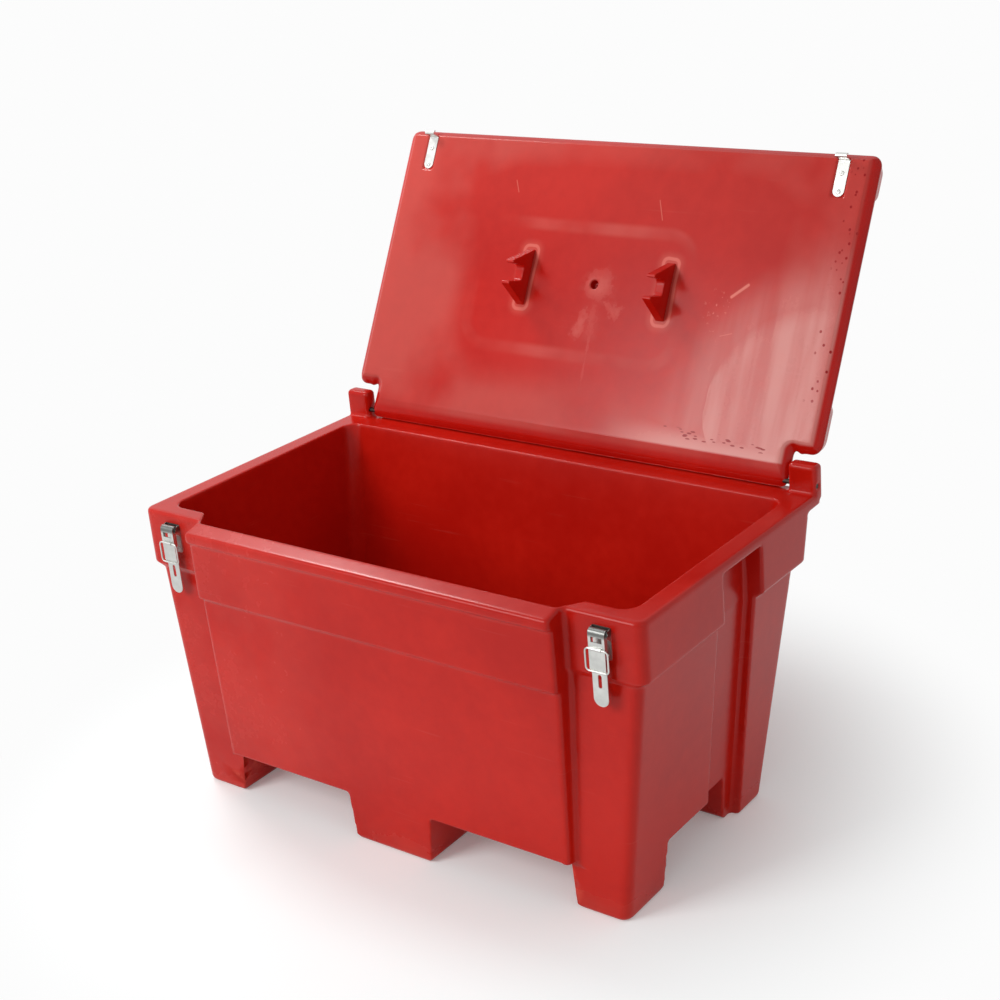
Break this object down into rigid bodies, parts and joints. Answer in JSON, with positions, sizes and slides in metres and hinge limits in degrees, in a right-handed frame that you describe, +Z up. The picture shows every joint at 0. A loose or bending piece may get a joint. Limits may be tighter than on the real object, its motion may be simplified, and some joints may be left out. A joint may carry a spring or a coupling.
{
  "type": "grit salt bin",
  "caption": "Moulded bin for grit salt on drafted feet with fork pockets, a pinned lid that swings back, tool clips inside the lid and toggle latches that hook keepers at the front.",
  "frame": {"origin": "on the ground, under the middle of the tub's rim", "axes": "+X along the front to the viewer's right, +Y to the back where the lid hinges, +Z up"},
  "size_m": [1.216, 1.0355, 1.2329],
  "materials": {
    "tub_plastic": "semi-gloss moulded polyethylene",
    "lid_plastic": "semi-gloss moulded polyethylene",
    "clip_plastic": "semi-gloss moulded polyethylene",
    "stainless": "satin stainless steel"
  },
  "bodies": {
    "tub": {"tub": "tub_plastic", "hinge_pin_left": "stainless", "latch_base_left": "stainless", "latch_rivets_left": "stainless", "latch_pin_left": "stainless", "hinge_pin_right": "stainless", "latch_base_right": "stainless", "latch_rivets_right": "stainless", "latch_pin_right": "stainless"},
    "lid": {"lid": "lid_plastic", "tool_clip_left": "clip_plastic", "keeper_left": "stainless", "keeper_screws_left": "stainless", "tool_clip_right": "clip_plastic", "keeper_right": "stainless", "keeper_screws_right": "stainless"},
    "latch_lever_left": {"latch_lever_left": "stainless"},
    "latch_loop_left": {"latch_loop_left": "stainless"},
    "latch_lever_right": {"latch_lever_right": "stainless"},
    "latch_loop_right": {"latch_loop_right": "stainless"}
  },
  "joints": [
    {"name": "lid_hinge", "type": "hinge", "parent": "tub", "child": "lid", "pos_m": [0, 0.313, 0.638], "axis": [1, 0, 0], "range_deg": [0, 118.4]},
    {"name": "latch_lever_left_hinge", "type": "hinge", "parent": "tub", "child": "latch_lever_left", "pos_m": [-0.525, -0.344, 0.59345], "axis": [1, 0, 0], "range_deg": [-120, 0]},
    {"name": "latch_loop_left_hinge", "type": "hinge", "parent": "latch_lever_left", "child": "latch_loop_left", "pos_m": [-0.525, -0.35433, 0.56645], "axis": [-1, 0, 0], "range_deg": [0, 150]},
    {"name": "latch_lever_right_hinge", "type": "hinge", "parent": "tub", "child": "latch_lever_right", "pos_m": [0.525, -0.344, 0.59345], "axis": [1, 0, 0], "range_deg": [-120, 0]},
    {"name": "latch_loop_right_hinge", "type": "hinge", "parent": "latch_lever_right", "child": "latch_loop_right", "pos_m": [0.525, -0.35433, 0.56645], "axis": [-1, 0, 0], "range_deg": [0, 150]}
  ]
}
